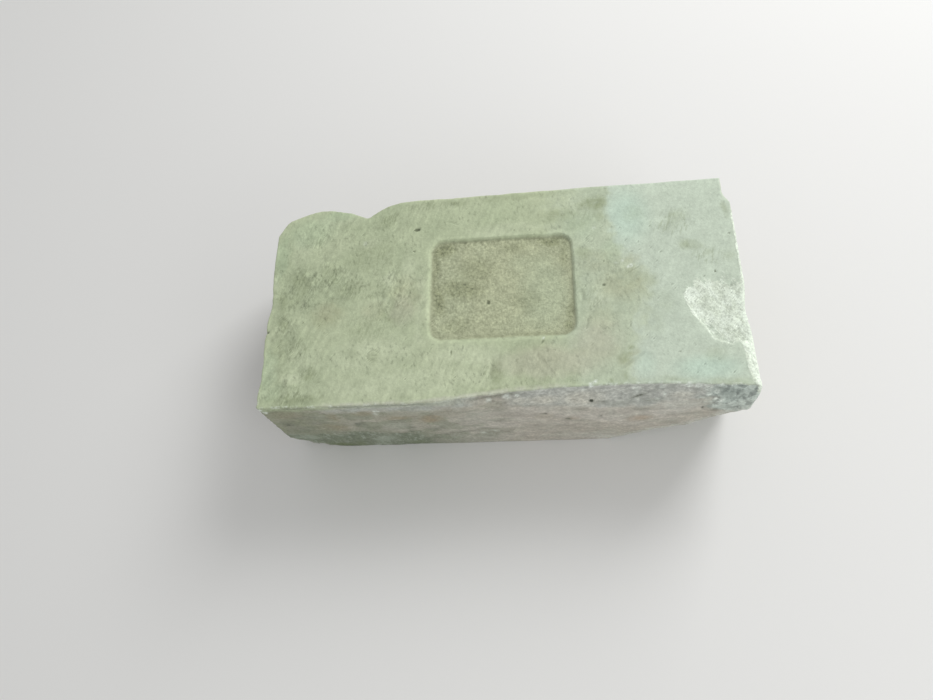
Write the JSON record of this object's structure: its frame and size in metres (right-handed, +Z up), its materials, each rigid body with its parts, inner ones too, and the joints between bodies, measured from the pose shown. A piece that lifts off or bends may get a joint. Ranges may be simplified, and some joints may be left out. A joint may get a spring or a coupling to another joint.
{
  "type": "fire brick",
  "caption": "Used straight fire brick: a fired clay block with a shallow pressed panel in its upper bed face, worn and chipped edges and two broken lower corners.",
  "frame": {"origin": "centre of the underside", "axes": "+X along the length, +Y across the width to the back, +Z up through the bed faces"},
  "size_m": [0.23, 0.114, 0.065],
  "materials": {
    "fired_clay": "matt, dusty, unglazed"
  },
  "bodies": {
    "root": {"brick": "fired_clay"}
  },
  "joints": []
}
